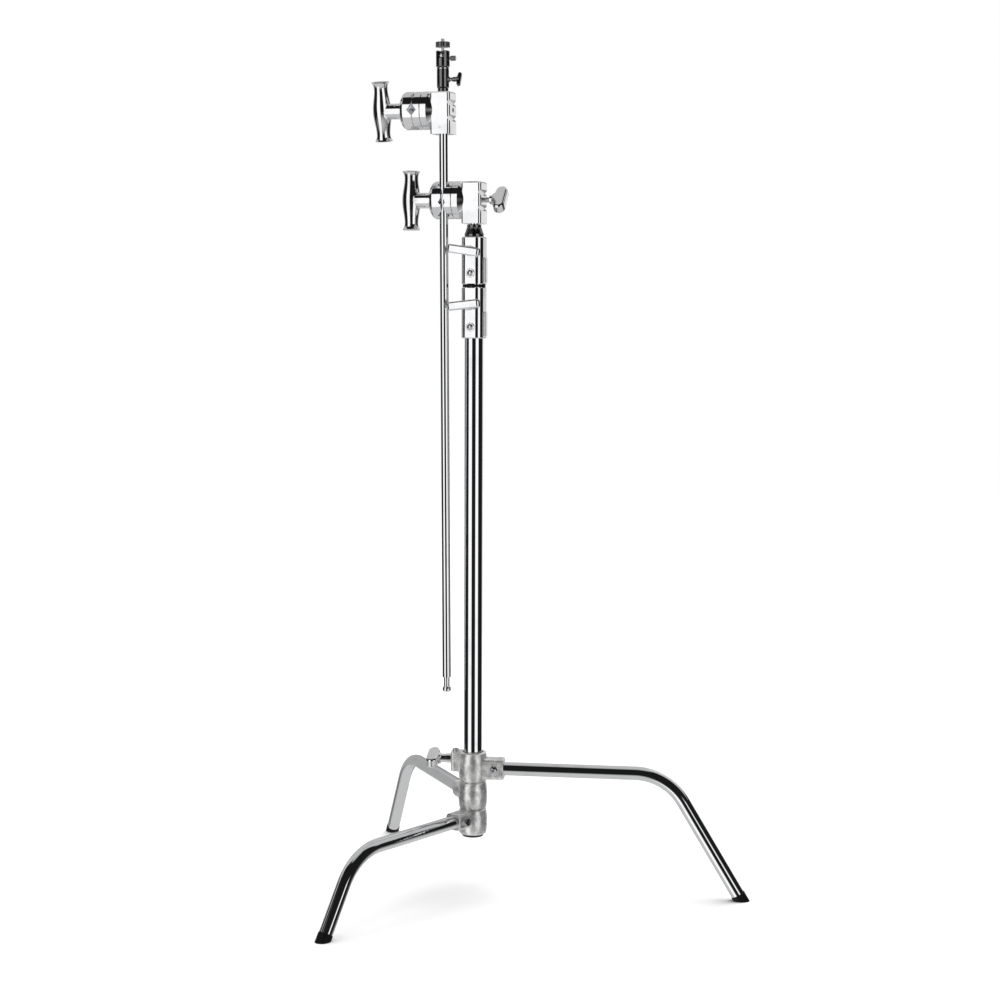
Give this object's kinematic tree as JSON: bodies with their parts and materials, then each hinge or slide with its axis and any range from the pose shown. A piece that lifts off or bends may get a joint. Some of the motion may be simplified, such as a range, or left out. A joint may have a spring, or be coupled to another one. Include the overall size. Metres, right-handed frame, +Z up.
{
  "type": "c stand",
  "caption": "Three-legged chrome lighting stand with nesting bent legs, sliding risers, grip heads, a long arm and a small ball head.",
  "frame": {"origin": "on the floor, at the centre of the stand's bounding box; the column stands to its left and behind", "axes": "+Z up the column; -Y is the front, where the collar knobs point; +X along the sliding leg"},
  "size_m": [0.7978, 0.8026, 1.6073],
  "materials": {
    "chrome_tube": "polished chrome plate",
    "polished_casting": "polished and chrome plated casting",
    "grey_casting": "plated sand casting, grainy",
    "black_metal": "gloss black",
    "black_plastic": "moulded",
    "black_rubber": "moulded rubber",
    "brass": "turned",
    "steel": "bright zinc plate"
  },
  "bodies": {
    "stand": {"base_tube": "chrome_tube", "base_tube_cap": "black_plastic", "low_leg_casting": "grey_casting", "low_leg_tube": "chrome_tube", "low_leg_foot": "black_rubber", "low_leg_bolt": "steel", "collar_1_casting": "polished_casting", "collar_1_bushing": "black_plastic", "collar_1_brake_pad": "brass", "collar_1_bolt": "steel"},
    "riser_1": {"riser_1_tube": "chrome_tube", "riser_1_lower_bushing": "black_plastic", "collar_2_casting": "polished_casting", "collar_2_bushing": "black_plastic", "collar_2_brake_pad": "brass", "collar_2_bolt": "steel", "riser_bumper": "black_rubber"},
    "riser_2": {"riser_2_tube": "chrome_tube", "riser_2_lower_bushing": "black_plastic", "stud_base": "black_metal", "baby_pin": "chrome_tube"},
    "collar_1_knob": {"collar_1_knob": "polished_casting"},
    "collar_2_knob": {"collar_2_knob": "polished_casting"},
    "mid_leg": {"mid_leg_casting": "grey_casting", "mid_leg_tube": "chrome_tube", "mid_leg_foot": "black_rubber", "mid_leg_bolt": "steel"},
    "sliding_liner": {"sliding_leg_liner": "black_plastic"},
    "top_leg": {"top_leg_casting": "grey_casting", "top_leg_tube": "chrome_tube", "top_leg_foot": "black_rubber", "top_leg_bolt": "steel", "sliding_leg_ear_bolt": "steel"},
    "leg_knob": {"sliding_leg_knob": "polished_casting"},
    "lower_head": {"lower_head_body": "polished_casting"},
    "pin_knob": {"lower_head_pin_knob": "polished_casting"},
    "lower_jaws": {"lower_head_inner_jaw": "polished_casting", "lower_head_outer_jaw": "polished_casting", "lower_head_washer": "steel"},
    "lower_handle": {"lower_head_screw": "steel", "lower_head_handle": "polished_casting"},
    "arm": {"grip_arm": "chrome_tube", "arm_end_stop": "chrome_tube", "upper_head_body": "polished_casting", "upper_head_roll_pin": "steel"},
    "upper_jaws": {"upper_head_inner_jaw": "polished_casting", "upper_head_outer_jaw": "polished_casting", "upper_head_washer": "steel"},
    "upper_handle": {"upper_head_screw": "steel", "upper_head_handle": "polished_casting"},
    "receiver": {"receiver": "black_metal", "pan_washer": "steel", "pan_screw": "steel"},
    "receiver_knob": {"receiver_knob": "black_metal"},
    "ball_housing": {"ball_housing": "black_metal"},
    "ball_lock_knob": {"ball_lock_knob": "black_metal"},
    "ball_stem": {"ball_stem": "steel"},
    "platform_wheel": {"platform_wheel": "black_metal"}
  },
  "joints": [
    {"name": "riser_1_slide", "type": "slide", "parent": "stand", "child": "riser_1", "axis": [0, 0, 1], "range_m": [0, 0.88]},
    {"name": "riser_2_slide", "type": "slide", "parent": "riser_1", "child": "riser_2", "axis": [0, 0, 1], "range_m": [0, 0.9]},
    {"name": "collar_1_knob_turn", "type": "hinge", "parent": "stand", "child": "collar_1_knob", "pos_m": [-0.12548, -0.05493, 1.118], "axis": [-0.3256, -0.9455, 0], "range_deg": [0, 450]},
    {"name": "collar_2_knob_turn", "type": "hinge", "parent": "riser_1", "child": "collar_2_knob", "pos_m": [-0.12548, -0.05493, 1.2183], "axis": [-0.3256, -0.9455, 0], "range_deg": [0, 450]},
    {"name": "mid_leg_swing", "type": "hinge", "parent": "stand", "child": "mid_leg", "pos_m": [-0.12548, -0.05493, 0.185], "axis": [0, 0, 1], "range_deg": [0, 120]},
    {"name": "sliding_leg_slide", "type": "slide", "parent": "stand", "child": "sliding_liner", "axis": [0, 0, 1], "range_m": [0, 0.09]},
    {"name": "top_leg_swing", "type": "hinge", "parent": "sliding_liner", "child": "top_leg", "pos_m": [-0.12548, -0.05493, 0.237], "axis": [0, 0, 1], "range_deg": [-120, 0]},
    {"name": "leg_knob_turn", "type": "hinge", "parent": "top_leg", "child": "leg_knob", "pos_m": [-0.12548, -0.05493, 0.254], "axis": [-0.9903, 0.1392, 0], "range_deg": [0, 450]},
    {"name": "lower_head_swivel", "type": "hinge", "parent": "riser_2", "child": "lower_head", "pos_m": [-0.12548, -0.05493, 1.313], "axis": [0, 0, 1], "range_deg": [-200, 15]},
    {"name": "pin_knob_turn", "type": "hinge", "parent": "lower_head", "child": "pin_knob", "pos_m": [-0.12548, -0.05493, 1.313], "axis": [0.9636, -0.2672, 0], "range_deg": [0, 450]},
    {"name": "arm_swing", "type": "hinge", "parent": "lower_head", "child": "lower_jaws", "pos_m": [-0.12548, -0.05493, 1.313], "axis": [0.9636, -0.2672, 0], "range_deg": [-135, 135]},
    {"name": "lower_handle_turn", "type": "hinge", "parent": "lower_head", "child": "lower_handle", "pos_m": [-0.12548, -0.05493, 1.313], "axis": [-0.9636, 0.2672, 0], "range_deg": [0, 450]},
    {"name": "arm_slide", "type": "slide", "parent": "lower_jaws", "child": "arm", "axis": [-0.0067, -0.0242, 0.9997], "range_m": [-0.06, 0.86]},
    {"name": "upper_jaw_turn", "type": "hinge", "parent": "arm", "child": "upper_jaws", "pos_m": [-0.18341, -0.06391, 1.47694], "axis": [0.9636, -0.2672, 0], "continuous": true},
    {"name": "upper_handle_turn", "type": "hinge", "parent": "arm", "child": "upper_handle", "pos_m": [-0.18341, -0.06391, 1.47694], "axis": [-0.9636, 0.2672, 0], "range_deg": [0, 450]},
    {"name": "receiver_swivel", "type": "hinge", "parent": "arm", "child": "receiver", "pos_m": [-0.18364, -0.06473, 1.51093], "axis": [-0.0067, -0.0242, 0.9997], "continuous": true},
    {"name": "receiver_knob_turn", "type": "hinge", "parent": "receiver", "child": "receiver_knob", "pos_m": [-0.18379, -0.06526, 1.53293], "axis": [0.9636, -0.2672, 0], "range_deg": [0, 450]},
    {"name": "ball_head_pan", "type": "hinge", "parent": "receiver", "child": "ball_housing", "pos_m": [-0.18393, -0.06578, 1.55422], "axis": [-0.0067, -0.0242, 0.9997], "continuous": true},
    {"name": "ball_lock_turn", "type": "hinge", "parent": "ball_housing", "child": "ball_lock_knob", "pos_m": [-0.18405, -0.06619, 1.57122], "axis": [0.9636, -0.2672, 0], "range_deg": [0, 450]},
    {"name": "ball_tilt", "type": "hinge", "parent": "ball_housing", "child": "ball_stem", "pos_m": [-0.18408, -0.06631, 1.57621], "axis": [0.9636, -0.2672, 0], "range_deg": [-12, 90]},
    {"name": "platform_wheel_turn", "type": "hinge", "parent": "ball_stem", "child": "platform_wheel", "pos_m": [-0.18408, -0.06631, 1.57621], "axis": [-0.0067, -0.0242, 0.9997], "continuous": true}
  ]
}
